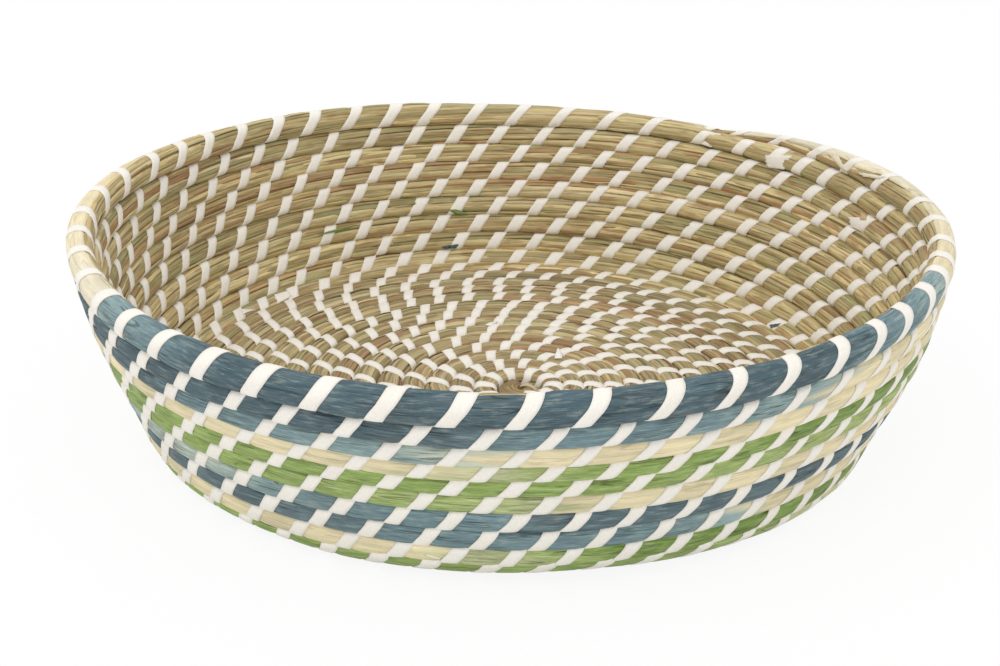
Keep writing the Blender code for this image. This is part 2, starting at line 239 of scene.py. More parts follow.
# %% [markdown]
# ## Counting stitches and lengths along the coil
# The strip wraps each row 48 times a turn and a half more, so that the wraps of one row fall
# between those of the next. Towards the middle of the base the turns are short, and a maker puts
# fewer wraps in each. A table from turns to wraps, made by adding up small steps, gives the place
# of every wrap, and a second table gives even steps along the bundle for its mesh. No maker sews
# quite evenly: on the rim, wraps crowd or part in a few places, and each is moved and widened a
# little by a seeded chance.

# %% Tables of wraps and of even steps
STITCH_RADII = (0.008, 0.025, 0.060, 0.090, 0.130)
STITCHES_PER_TURN = (7.0, 13.0, 22.0, 36.0, 48.5)
FIRST_STITCH_SHARE = 0.0064
STEP_LENGTH = 0.0042
STEP_ANGLE = 0.22
EXTRA_TURNS = 0.05
FINE_COUNT = 48000
SEWN_WRAPS = (0, 1, 3, 4, 5, 6, 8, 9, 10, 11, 12, 13.5, 16, 18, 24, 27, 31, 32, 33, 34, 35, 36,
              40, 42, 44, 46, 47, 48, 49, 50, 51, 52, 54, 60)
SEWN_SHIFTS = (-0.3, -0.5, -0.24, -0.16, 0.08, 0.50, 0.56, 0.40, 0.12, -0.02, -0.04, -0.24, -0.16, -0.01, 0.02,
               -0.12, -0.2, -0.03, 0.1, 0.32, 0.32, 0.17, 0.12, -0.04, -0.08, -0.02, 0.0, 0.28, 0.3, 0.2,
               0.0, -0.25, 0.1, 0.0)
chance = np.random.default_rng(11)

fine_turns = np.linspace(-EXTRA_TURNS, COIL_TURNS, FINE_COUNT)
fine_radius = np.maximum(bowl_line(COIL_PITCH * (rows_down(fine_turns) - 1.0))[0], COIL_START_RADIUS)
fine_step = fine_turns[1] - fine_turns[0]


def added_up(rate):
    return np.concatenate([[0.0], np.cumsum((rate[1:] + rate[:-1]) / 2 * fine_step)])


fine_rate = np.interp(fine_radius, STITCH_RADII, STITCHES_PER_TURN)
fine_wraps = added_up(fine_rate)
fine_wraps -= np.interp(FIRST_STITCH_SHARE, fine_turns, fine_wraps)
fine_length = added_up(2 * math.pi * fine_radius)
fine_steps = added_up(2 * math.pi * fine_radius / np.minimum(STEP_LENGTH, STEP_ANGLE * fine_radius))
wrap_numbers = np.arange(math.floor(fine_wraps[0]) - 1, math.ceil(fine_wraps[-1]) + 2)
wrap_shift = chance.normal(0.0, 0.026, len(wrap_numbers)) + np.interp(wrap_numbers, SEWN_WRAPS, SEWN_SHIFTS)
wrap_width = np.clip(chance.normal(1.0, 0.06, len(wrap_numbers)), 0.86, 1.16)
wrap_tone = chance.normal(1.0, 0.045, len(wrap_numbers))


def wraps_at(turns):
    return np.interp(turns, fine_turns, fine_wraps)


def turns_at_wrap(wraps):
    return np.interp(wraps, fine_wraps, fine_turns)


def length_at(turns):
    return np.interp(turns, fine_turns, fine_length)


# %% [markdown]
# A wrap leans as it crosses a row, more on the inside than on the outside, and most over the
# free top of the rim. In the crevice below the row it passes through to the other side, where it
# makes up the rest of the way to the next wrap.

# %% Lean of a wrap
OUTER_TRAVEL, INNER_TRAVEL = 0.40, 0.35
RIM_OUTER_TRAVEL, RIM_INNER_TRAVEL = 0.37, 0.40
CREVICE_ANGLE = math.radians(158.0)


def wrap_travel(turns, around):
    """Part of a wrap's spacing that the strip has moved along the coil at an angle round it."""
    on_rim = ease((1.02 - turns) / 0.04)
    outer = OUTER_TRAVEL + (RIM_OUTER_TRAVEL - OUTER_TRAVEL) * on_rim
    inner = INNER_TRAVEL + (RIM_INNER_TRAVEL - INNER_TRAVEL) * on_rim
    whole = np.where(around > 0.0, outer, inner)
    size = np.abs(around)
    path = 0.26 * size / math.pi + 0.37 * (1.0 - np.cos(size))
    beyond = ease((size - CREVICE_ANGLE) / (math.pi - CREVICE_ANGLE))
    return np.sign(around) * (whole * path + (0.5 - whole) * beyond)


def turned_back(around):
    """The same angle, between half a turn back and half a turn on."""
    return (around + math.pi) % (2 * math.pi) - math.pi


def stitch_number(turns, around):
    """Whole where the middle of a wrap is, and in between elsewhere."""
    apart = wraps_at(turns) - wrap_travel(turns, turned_back(around))
    return np.interp(apart, wrap_numbers + wrap_shift, wrap_numbers)


def from_stitch(turns, around):
    """Distance along the coil to the nearest wrap of the strip, in metres."""
    apart = wraps_at(turns) - wrap_travel(turns, turned_back(around))
    nearest = np.round(stitch_number(turns, around))
    spacing = 2 * math.pi * np.interp(turns, fine_turns, fine_radius) / np.interp(turns, fine_turns, fine_rate)
    return (apart - nearest - np.interp(nearest, wrap_numbers, wrap_shift)) * spacing


print("wraps", round(float(fine_wraps[-1])), "metres of coil", round(float(fine_length[-1]), 2))

# %% [markdown]
# ## Meshes from rows of points
# Stems, leaves and strips are all long thin things, so each is a grid of points: rows along it
# and columns round or across it. One helper turns many grids into one mesh of four-sided faces.
# It also keeps what the finishes read: the metres along and round a piece, and a colour for each
# point.

# %% A mesh of many grids
class Weave:
    """Collects grids of points that become one piece."""

    def __init__(self):
        self.points, self.faces, self.lay, self.tints, self.count = [], [], [], [], 0

    def add(self, points, along, across, tint, closed=True):
        """Points by row and column, metres along each row, metres across each column, colour."""
        rows, columns = points.shape[:2]
        index = self.count + np.arange(rows * columns).reshape(rows, columns)
        first = np.arange(columns if closed else columns - 1)
        after = (first + 1) % columns
        quads = np.stack([index[:-1, first], index[:-1, after], index[1:, after], index[1:, first]], -1)
        u = np.broadcast_to(along[:, None], (rows, len(across)))
        v = np.broadcast_to(across[None, :], (rows, len(across)))
        lay = np.stack([u, v], -1)
        corners = np.stack([lay[:-1, first], lay[:-1, first + 1], lay[1:, first + 1], lay[1:, first]], 2)
        self.points.append(points.reshape(-1, 3))
        self.tints.append(np.broadcast_to(tint, (rows, columns, 3)).reshape(-1, 3))
        self.faces.append(quads.reshape(-1, 4))
        self.lay.append(corners.reshape(-1, 2))
        if closed:
            self.cap(index[0][::-1], lay[0, 0], columns)
            self.cap(index[-1], lay[-1, 0], columns)
        self.count += rows * columns

    def cap(self, ring, spot, columns):
        """Closes one end of a tube with four-sided faces."""
        quads = [(ring[i - 1], ring[i], ring[columns - 1 - i], ring[columns - i])
                 for i in range(1, columns // 2)]
        self.faces.append(np.array(quads))
        self.lay.append(np.tile(spot, (4 * len(quads), 1)))

    def piece(self, name, material, *nodes):
        """Makes the mesh, lets it ride on the bowl and stand for the solids that are named."""
        points = np.concatenate(self.points)
        faces = np.concatenate(self.faces)
        mesh = bpy.data.meshes.new(name)
        mesh.vertices.add(len(points))
        mesh.vertices.foreach_set("co", points.astype(np.float32).ravel())
        mesh.loops.add(faces.size)
        mesh.loops.foreach_set("vertex_index", faces.astype(np.int32).ravel())
        mesh.polygons.add(len(faces))
        mesh.polygons.foreach_set("loop_start", np.arange(0, faces.size, 4, dtype=np.int32))
        mesh.polygons.foreach_set("use_smooth", np.ones(len(faces), dtype=bool))
        mesh.update(calc_edges=True)
        lay = mesh.uv_layers.new(name="lay")
        lay.uv.foreach_set("vector", np.concatenate(self.lay).astype(np.float32).ravel())
        tint = mesh.attributes.new("tint", "FLOAT_COLOR", "POINT")
        colours = np.concatenate([np.concatenate(self.tints), np.ones((len(points), 1))], 1)
        tint.data.foreach_set("color", colours.astype(np.float32).ravel())
        mesh.materials.append(material)
        thing = bpy.data.objects.new(name, mesh)
        bpy.context.scene.collection.objects.link(thing)
        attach(thing, "root")
        if nodes:
            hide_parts(*nodes)
        return thing


# %% [markdown]
# ## Shader sums written as Python
# A finish is a small sum of patterns. Wrapping a socket in a class with the usual signs lets the
# sum be read as one line, and each sign adds its Math node.

# %% Shader helpers
class Signal:
    """A number from a node, which takes part in Python sums."""

    def __init__(self, finish, socket):
        self.finish, self.socket = finish, socket

    def joined(self, operation, *values):
        return self.finish.node("Math", {"operation": operation}, dict(enumerate(values)))

    def __add__(self, other):
        return self.joined("ADD", self, other)

    def __radd__(self, other):
        return self.joined("ADD", other, self)

    def __sub__(self, other):
        return self.joined("SUBTRACT", self, other)

    def __rsub__(self, other):
        return self.joined("SUBTRACT", other, self)

    def __mul__(self, other):
        return self.joined("MULTIPLY", self, other)

    def __rmul__(self, other):
        return self.joined("MULTIPLY", other, self)

    def within(self, low, high):
        """Goes from 0 to 1 as the number goes from low to high, and holds there."""
        return self.finish.node("MapRange", {"interpolation_type": "SMOOTHSTEP"},
                                {"Value": self, "From Min": low, "From Max": high})


class Finish:
    """A material whose nodes are made one call at a time."""

    def __init__(self, name, **fixed):
        self.material = bpy.data.materials.new(name)
        self.material.use_nodes = True
        self.tree = self.material.node_tree
        self.shader = self.tree.nodes["Principled BSDF"]
        for socket, value in fixed.items():
            self.shader.inputs[socket.replace("_", " ")].default_value = value

    def node(self, kind, settings, sockets, out=0):
        """A node of a type, its settings, and the values or links of its sockets."""
        made = self.tree.nodes.new("ShaderNode" + kind)
        for name, value in settings.items():
            setattr(made, name, value)
        for name, value in sockets.items():
            if isinstance(value, Signal):
                self.tree.links.new(value.socket, made.inputs[name])
            else:
                made.inputs[name].default_value = value
        return Signal(self, made.outputs[out])

    def lay(self, along, across):
        """Places along and across a piece, stretched so that one step is a fibre."""
        place = self.node("UVMap", {"uv_map": "lay"}, {})
        return self.node("VectorMath", {"operation": "MULTIPLY"}, {0: place, 1: (along, across, 0.0)})

    def noise(self, place, scale=1.0, detail=2.0, roughness=0.5):
        sockets = {"Vector": place, "Scale": scale, "Detail": detail, "Roughness": roughness}
        return self.node("TexNoise", {"noise_dimensions": "2D"}, sockets)

    def mixed(self, share, first, second, blend="MIX"):
        """Two colours mixed by a share."""
        sockets = {0: share, 6: first, 7: second}
        return self.node("Mix", {"data_type": "RGBA", "blend_type": blend}, sockets, 2)

    def feed(self, **links):
        for socket, signal in links.items():
            self.tree.links.new(signal.socket, self.shader.inputs[socket.replace("_", " ")])

    def bumped(self, height, depth):
        return self.node("Bump", {}, {"Height": height, "Distance": depth})


def colour(red, green, blue):
    """A colour as a picture shows it, from 0 to 255, as linear light."""
    shown = np.array([red, green, blue]) / 255.0
    return np.where(shown <= 0.04045, shown / 12.92, ((shown + 0.055) / 1.055) ** 2.4)


def solid(shade):
    return (*[float(part) for part in shade], 1.0)


# %% [markdown]
# ## The grass finish
# Dry grass has fine veins that run along each stem, slightly lighter and darker, and patches
# that have gone brown. The veins come from a noise that is stretched a hundred times along the
# stem; the same noise lifts the surface, so light catches the veins. The stem's own colour is
# kept on its points, because neighbouring stems differ more than one stem does along itself.

# %% Grass finish
VEIN_ALONG, VEIN_ACROSS = 60.0, 2600.0
CREASE_ALONG, CREASE_ACROSS = 38.0, 1300.0
PATCH_ALONG, PATCH_ACROSS = 45.0, 260.0
BROWN = colour(146, 110, 68)


def darker(finish, tint, red, green, blue):
    """The same colour with less light."""
    return finish.mixed(1.0, tint, solid((red, green, blue)), "MULTIPLY")


def grass_finish():
    finish = Finish("grass", Roughness=0.62)
    finish.shader.inputs["Specular IOR Level"].default_value = 0.35
    tint = finish.node("Attribute", {"attribute_name": "tint"}, {})
    veins = finish.noise(finish.lay(VEIN_ALONG, VEIN_ACROSS), detail=3.0, roughness=0.6)
    creases = finish.noise(finish.lay(CREASE_ALONG, CREASE_ACROSS)).within(0.56, 0.66)
    patches = finish.noise(finish.lay(PATCH_ALONG, PATCH_ACROSS)).within(0.50, 0.70)
    browned = finish.mixed(patches * 0.48, tint, solid(BROWN))
    veined = finish.mixed(veins.within(0.25, 0.75), darker(finish, browned, 0.80, 0.78, 0.73), browned)
    # The creases are dented by the bump and darkened in colour: painted shade in them.
    finish.feed(Base_Color=finish.mixed(creases * 0.32, veined, darker(finish, veined, 0.58, 0.52, 0.46)),
                Roughness=0.72 - veins * 0.2,
                Normal=finish.bumped(veins - creases * 0.5, 0.00016))
    return finish.material


# %% [markdown]
# ## The bundle
# Each turn of the coil is a bundle of some twenty stems, of which about fourteen show. Long
# stems lie side by side in lanes round the bundle; where one ends the next begins beside it. The
# rows are pressed against each other, so the bundle is squarer than round. The strip pinches it
# at each wrap, and it swells in between. Single stems are made instead of one ribbed tube,
# because their different widths, colours and crossings are what makes it grass.

# %% Shape of the bundle
BODY_SIDE, BODY_RISE = 0.0055, 0.00548
BARE_FROM_TURN = 9.9
INNER_SQUARENESS, OUTER_SQUARENESS, RIM_SQUARENESS = 3.0, 3.4, 2.3
INNER_PINCH, OUTER_PINCH = 0.00034, 0.00016
PINCH_HALF, PINCH_EDGE = 0.0031, 0.0030
LUMP_DEPTH = 0.00012
CUT_TURNS = (0.850, 0.872, 0.906, 0.939, 0.956, 0.973, 0.984, 0.9945, 0.9965, 1.0012, 1.003, 1.023, 1.040)
CUT_DEPTHS = (0.0, 0.0005, 0.0008, 0.0014, 0.0014, 0.0014, 0.0018, 0.0012, 0.0022, 0.0045, 0.0046, 0.0024, 0.0)


def held_down(turns, around):
    """1 under a wrap, and 0 midway between two wraps."""
    return 1.0 - ease((np.abs(from_stitch(turns, around)) - PINCH_HALF) / PINCH_EDGE)


EDGE_TURNS = (
    0.01, 0.030, 0.040, 0.058, 0.066, 0.075, 0.080, 0.090, 0.105, 0.20, 0.395, 0.400, 0.416, 0.422, 0.66, 0.76,
    0.96, 0.985, 1.0, 1.05, 1.075, 1.10, 9.9)
EDGE_ANGLES = (
    -95.0, -88.0, -70.0, -66.0, -96.0, -60.0, -62.0, -84.0, -48.0, -40.0, -40.0, -8.0, -8.0, -40.0, -38.0, 22.0,
    22.0, 10.0, -45.0, -40.0, -20.0, 10.0, 9.0)


def outside(turns, around):
    """1 on the outer face of the wall's rows, and 0 inside and under the base."""
    return ease(np.sin(around) / 0.5 + 0.5) * ease((BARE_FROM_TURN - turns) / 0.3)


def body_reach(turns, around):
    """Distance from the coil's middle to the bundle's surface."""
    sideways, upright = np.abs(np.sin(around)), np.abs(np.cos(around))
    outer = outside(turns, around)
    power = INNER_SQUARENESS + (OUTER_SQUARENESS - INNER_SQUARENESS) * outer
    free_top = ease((1.0 - turns) / 0.04) * ease(np.cos(around) / 0.5 + 0.5)
    power = power + (RIM_SQUARENESS - power) * free_top
    rise = BODY_RISE * (1.0 + RIM_SWELL_SHARE * ease((RIM_SWELL_END - turns) / RIM_SWELL_FADE))
    left_share = np.clip(-np.sin(2 * math.pi * (turns + END_CLOCK_SHARE)), 0.0, 1.0)
    spread_out = np.interp(turns, FRONT_SWELL_TURNS, (0, 1, 1, 0)) * np.clip(front_share(turns) + left_share, 0.15, 1.0)
    rise = rise * (1.0 + FRONT_SWELL_SHARE * spread_out)
    square = ((sideways / BODY_SIDE) ** power + (upright / rise) ** power) ** (-1 / power)
    pinch = INNER_PINCH + (OUTER_PINCH - INNER_PINCH) * outer
    length = length_at(turns)
    lumps = np.sin(length * 97.0 + 2.0 * around) + np.sin(length * 41.0 - around) * 0.8
    cut = np.interp(turns, CUT_TURNS, CUT_DEPTHS) * np.clip(np.cos(around), 0.0, 1.0) ** 2
    return square * thickness_share(turns) - pinch * held_down(turns, around) + LUMP_DEPTH * lumps - cut


def leaf_edge(turns):
    """Angle round the coil at which a row's leaf begins, so a leaf that starts over the top is below zero."""
    return np.radians(np.interp(turns, EDGE_TURNS, EDGE_ANGLES))


def covered(turns, around):
    """1 where a leaf lies on the coil, and 0 on bare grass."""
    return ease((turned_back(around) - leaf_edge(turns)) / 0.12) * (turns < BARE_FROM_TURN)


def off_the_floor(points, clearance):
    """The base is pressed flat where it stands."""
    points[..., 2] = np.maximum(points[..., 2], clearance)
    return points


# %% Stems
LANES = 20
TWIST_LENGTH = 0.95
STEM_SIDES = 6
STEM_WIDTHS = (0.0022, 0.0042)
STEM_DEPTHS = (0.0006, 0.0010)
STEM_LENGTHS = (0.09, 0.42)
TIP_LENGTH = 0.016
FLOOR_CLEARANCE = 0.00045
STEM_COLOURS = [colour(*c) for c in (
    (216, 198, 148), (207, 188, 138), (194, 174, 126), (183, 168, 122), (213, 198, 150),
    (174, 164, 116), (188, 158, 114), (168, 134, 94), (228, 212, 168), (194, 160, 118), (178, 172, 124))]
BASE_SHADE = np.array((0.84, 0.84, 0.88))
STEM_SHARES = np.array([15, 17, 15, 11, 10, 8, 9, 4, 5, 6, 7], float)
STEM_SHARES /= STEM_SHARES.sum()


def stem(weave, first, last, lane, widths, depths, raised=0.0):
    """One grass stem from one even step of the coil to another, in a lane round the bundle."""
    turns = np.interp(np.arange(first, last + 1), fine_steps, fine_turns)
    length = length_at(turns)
    left = np.minimum(length - length[0], length[-1] - length)
    tip = 0.25 + 0.75 * ease(left / TIP_LENGTH)
    share = (length - length[0]) / (length[-1] - length[0])
    drift = chance.normal(0.0, 0.34, 2)
    sway = chance.uniform(-0.14, 0.14) * np.sin(length * chance.uniform(30.0, 70.0))
    around = 2 * math.pi * ((lane + drift[0] * (1 - share) + drift[1] * share + sway) / LANES)
    around = around + 2 * math.pi * length / TWIST_LENGTH
    free = 1.0 - held_down(turns, around)
    width = chance.uniform(*widths) / 2 * tip * (0.86 + 0.14 * free)
    depth = chance.uniform(*depths) / 2 * tip * (0.5 + 0.5 * thickness_share(turns))
    bare = 1.0 - covered(turns, around)
    lift = (abs(chance.normal(0.0, 0.00012)) + raised) * free * bare - 0.0009 * (1 - tip) * bare
    middle = body_reach(turns, around) - depth + lift
    sides = 2 * math.pi * np.arange(STEM_SIDES) / STEM_SIDES
    angles = around[:, None] + width[:, None] * np.cos(sides) / middle[:, None]
    reach = middle[:, None] + depth[:, None] * np.sin(sides)
    points = off_the_floor(beside_coil(turns[:, None], angles, reach), FLOOR_CLEARANCE)
    shade = STEM_COLOURS[chance.choice(len(STEM_COLOURS), p=STEM_SHARES)] * chance.normal(1.0, 0.11)
    # Stems in the base are darker and a little bluer than those of the wall.
    shade = shade * (BASE_SHADE if turns[0] > BARE_FROM_TURN else 1.0)
    fade = 1.0 + 0.10 * np.sin(length * chance.uniform(15.0, 60.0) + chance.uniform(0.0, 6.0))
    tint = np.clip(shade[None, :] * fade[:, None], 0.0, 1.0)[:, None, :]
    across = chance.uniform(0.0, 9.0) + np.arange(STEM_SIDES + 1) / STEM_SIDES * 0.006
    weave.add(points, length + chance.uniform(0.0, 9.0), across, tint)


def core(weave, first_turn, last_turn):
    """The inside of the bundle, seen only through gaps between the stems, coloured darker than the stems as painted
    shade.
    """
    start, end = np.interp((first_turn, last_turn), fine_turns, fine_steps)
    turns = np.interp(np.arange(math.floor(start), math.ceil(end) + 1), fine_steps, fine_turns)
    around = np.broadcast_to(2 * math.pi * np.arange(CORE_SIDES) / CORE_SIDES, (len(turns), CORE_SIDES))
    spread = np.broadcast_to(turns[:, None], around.shape)
    reach = np.maximum(body_reach(spread, around) - CORE_DEPTH, CORE_LEAST)
    points = off_the_floor(beside_coil(spread, around, reach), 2 * FLOOR_CLEARANCE)
    weave.add(points, length_at(turns), np.arange(CORE_SIDES + 1) * 0.003, CORE_PAINTED_SHADE)


# %% [markdown]
# Stems run on past the end of a row, so the coil is laid as one, and each stem is then handed to
# the piece in which it starts. Thin loose blades lie over the full ones, mostly on the inside.

# %% Grass, a row or a few to a piece
CORE_SIDES, CORE_DEPTH, CORE_LEAST = 12, 0.0004, 0.0004
# The core's colour is darker than the stems': painted shade in the gaps between them.
CORE_PAINTED_SHADE = colour(150, 126, 86)
BLADE_WIDTHS, BLADE_DEPTHS = (0.0007, 0.0016), (0.0005, 0.0009)
BLADE_LENGTHS = (0.03, 0.12)
BLADE_COUNT = 800
LANE_OVERLAP = 3
ROW_TURNS = np.array([-0.012] + [row - STEP_LEAD_SHARE for row in range(1, 11)] + [12.4, 15.0, 18.0, COIL_TURNS])
GRASS = grass_finish()
weaves = [Weave() for _ in ROW_TURNS[1:]]


def piece_at(step):
    turn = np.interp(step, fine_steps, fine_turns)
    return weaves[int(np.clip(np.searchsorted(ROW_TURNS, turn, "right") - 1, 0, len(weaves) - 1))]


def lay_lane(lane, start, end):
    """Stems laid end to end along one lane of the whole coil."""
    place = start + int(chance.uniform(-60, 0))
    while place < end:
        stop = min(place + int(chance.uniform(*STEM_LENGTHS) / STEP_LENGTH), end)
        first, last = max(place - LANE_OVERLAP, start), min(stop + LANE_OVERLAP, end)
        if last - first > 2 * LANE_OVERLAP:
            stem(piece_at(first), first, last, lane + chance.uniform(-0.1, 0.1), STEM_WIDTHS, STEM_DEPTHS)
        place = stop


def loose_end(weave, start, end, rise, width, shade):
    """A short bent piece of stem between two points."""
    share = np.linspace(0.0, 1.0, 9)[:, None]
    path = start + (end - start) * share + UP * rise * 4 * share * (1.0 - share)
    level = np.cross(end - start, UP)
    level = level / np.linalg.norm(level)
    sides = 2 * math.pi * np.arange(STEM_SIDES)[:, None] / STEM_SIDES
    ring = (level * np.cos(sides) + UP * np.sin(sides) * 0.5) * width / 2
    points = off_the_floor(path[:, None] + ring, FLOOR_CLEARANCE)
    weave.add(points, share[:, 0] * np.linalg.norm(end - start), np.arange(STEM_SIDES + 1) * 0.001, shade)


UP = np.array([0.0, 0.0, 1.0])
KNOT_STEMS, KNOT_WIDTH = 9, 0.0030
last_turn = np.linspace(COIL_TURNS - 1.0, COIL_TURNS, 24)
knot_middle = coil_frame(last_turn)[0].mean(0)
for number in range(KNOT_STEMS):
    angle = math.pi * number / KNOT_STEMS
    across_knot = np.array([math.cos(angle), math.sin(angle), 0.0]) * COIL_START_RADIUS
    shade = STEM_COLOURS[number % len(STEM_COLOURS)] * BASE_SHADE
    start, end = knot_middle - across_knot, knot_middle + across_knot
    loose_end(weaves[-1], start, end, 0.0008 + 0.0004 * number, KNOT_WIDTH, shade)

coil_start, coil_end = (int(step) for step in np.interp(ROW_TURNS[[0, -1]], fine_turns, fine_steps))
for lane in range(LANES):
    lay_lane(lane, coil_start, coil_end)
for _ in range(BLADE_COUNT):
    first = int(chance.uniform(coil_start + 60, coil_end - 60))
    last = first + int(chance.uniform(*BLADE_LENGTHS) / STEP_LENGTH)
    stem(piece_at(first), first, min(last, coil_end), chance.uniform(0, LANES), BLADE_WIDTHS, BLADE_DEPTHS, 0.0003)
for number, (weave, first_turn, last_turn) in enumerate(zip(weaves, ROW_TURNS, ROW_TURNS[1:])):
    core(weave, first_turn, last_turn)
    node = "wall_coil" if number < 10 else "base_coil"
    made = weave.piece(f"grass_{number + 1}", GRASS, node)
    print(made.name, len(made.data.polygons), "faces")

# %% [markdown]
# ## The leaf finish
# The leaves are torn and pressed flat, so they show long fibres, with thin dark cracks where
# these part. Dye takes unevenly, so the colour on the points already fades and spots; the finish
# adds clouds, fibres and cracks, a painted sheen on paler patches and fibres, and painted shade
# along folds. A crack follows the line where a stretched noise passes its middle value, which
# gives lines as thin as wanted, and a second noise leaves most of them out.

# %% Leaf finish
def thin_lines(finish, place, half_width, shown):
    """Thin wandering lines where a noise passes its middle, in the places that are shown."""
    off = finish.noise(place, detail=1.0) - 0.5
    return (1.0 - (off * off).within(0.0, half_width * half_width)) * shown


def leaf_finish(name, marks):
    """Marks is 1 on a dyed leaf, and less on a plain one, where fibres and cracks hardly show."""
    finish = Finish(name, Roughness=0.6)
    finish.shader.inputs["Specular IOR Level"].default_value = 0.3
    tint = finish.node("Attribute", {"attribute_name": "tint"}, {})
    fibres = finish.noise(finish.lay(95.0, 3600.0), detail=4.0, roughness=0.75)
    streaks = finish.noise(finish.lay(26.0, 700.0), detail=3.0)
    clouds = finish.noise(finish.lay(100.0, 620.0), detail=4.0, roughness=0.65)
    few = finish.noise(finish.lay(36.0, 240.0)).within(0.50, 0.62)
    cracks = thin_lines(finish, finish.lay(24.0, 520.0), 0.040, few)
    folds = thin_lines(finish, finish.lay(13.0, 230.0), 0.018, finish.noise(finish.lay(60.0, 90.0)).within(0.45, 0.6))
    cloudy = finish.mixed(clouds.within(0.36, 0.64) * marks, tint, darker(finish, tint, 0.80, 0.82, 0.84))
    # Paler patches of the leaf are mixed toward a sheen colour: painted sheen.
    lit = finish.mixed(clouds.within(0.48, 0.30) * 0.16 * marks, cloudy, solid(LEAF_PAINTED_SHEEN))
    warm = finish.mixed(streaks.within(0.58, 0.74) * 0.10 * marks, lit, solid(LEAF_TAN))
    light = finish.mixed(fibres.within(0.62, 0.34) * marks, warm, darker(finish, warm, 0.60, 0.63, 0.65))
    # Pale fibres are mixed toward the same sheen colour: painted sheen on the leaf's own fibres.
    pale = finish.mixed(fibres.within(0.60, 0.76) * 0.26 * marks, light, solid(LEAF_PAINTED_SHEEN))
    cracked = finish.mixed(cracks * 0.66 * marks, pale, darker(finish, pale, 0.40, 0.39, 0.36))
    # Darkening along the folds is painted shade.
    fold_shaded = finish.mixed(folds * 0.70 * marks, cracked, darker(finish, cracked, 0.32, 0.30, 0.27))
    height = fibres * 0.7 + streaks * 0.5 - cracks * 0.8 - folds
    finish.feed(Base_Color=fold_shaded, Roughness=0.52 + fibres * 0.22, Normal=finish.bumped(height, 0.00010 + 0.00016 * marks))
    return finish.material


LEAF_TAN = colour(190, 150, 100)
# A pale colour painted on patches and fibres as sheen.
LEAF_PAINTED_SHEEN = colour(226, 230, 214)
DYED_LEAF = leaf_finish("dyed leaf", 1.0)
PLAIN_LEAF = leaf_finish("plain leaf", 0.36)

# %% [markdown]
# ## Leaf covers
# A cover is a leaf laid along the outer side of a row and held down by the wraps. It follows
# the bundle, puffs up between two wraps, and its long edges tuck into the crevices, except where
# they fall short and bare grass shows. It is one closed sheet with folds that run along it. Its
# colours are set by run, row by row, and each stretch between two wraps has a tone of its own.

# %% Colours of a leaf
DYES = {
    "cream": colour(240, 225, 184), "pale": colour(240, 229, 202), "pinkish": colour(234, 214, 186),
    "blue": colour(90, 113, 120), "mid_blue": colour(130, 156, 160), "light_blue": colour(156, 180, 178),
    "white_blue": colour(204, 214, 198), "navy": colour(106, 128, 134), "green": colour(166, 190, 104),
    "deep_green": colour(143, 171, 84), "light_green": colour(188, 204, 128),
    "pale_green": colour(206, 208, 158), "tan": colour(214, 184, 134),
}


def leaf_tints(turns, around, stops):
    """Dye colours along a run: each stop is a turn and a dye, with patches and uneven fades."""
    length = length_at(turns)
    blotch = 0.006 * np.sin(length * 61.0 + 3.0 * around) + 0.005 * np.sin(length * 23.0 - 5.0 * around)
    places = turns + blotch
    marks = [stop[0] for stop in stops]
    shades = np.array([DYES[stop[1]] for stop in stops])
    tint = np.stack([np.interp(places, marks, shades[:, k]) for k in range(3)], -1)
    wave = 0.04 * np.sin(length * 131.0 + 2.0 * around) + 0.05 * np.sin(length * 57.0 + 9.0 * around)
    tone = np.interp(np.floor(stitch_number(turns, around)), wrap_numbers, wrap_tone)
    return np.clip(tint * ((1.0 + wave) * tone)[..., None], 0.0, 1.0)


# %% Shape of a leaf
LEAF_THICKNESS = 0.00028
LEAF_LIFT = 0.00025
LEAF_PUFF = 0.00022
LEAF_COLUMNS = 27
LEAF_STEP = 0.0021
CREASE_PLACES = (0.10, 0.22, 0.31, 0.43, 0.55, 0.64, 0.77, 0.88)


def leaf_relief(share, length):
    """Sharp creases that wander along the leaf, and soft folds between them."""
    relief = 0.00005 * np.sin(share * 31.0 + 2.5 * np.sin(length * 31.0))
    for number, middle in enumerate(CREASE_PLACES):
        place = middle + 0.035 * np.sin(length * (19.0 + 5.0 * number) + 2.0 * number)
        strength = np.clip(np.sin(length * (43.0 + 9.0 * number) + number) + 0.15, 0.0, 1.0)
        relief = relief - 0.00014 * strength * np.exp(-((share - place) / 0.022) ** 2)
    return relief


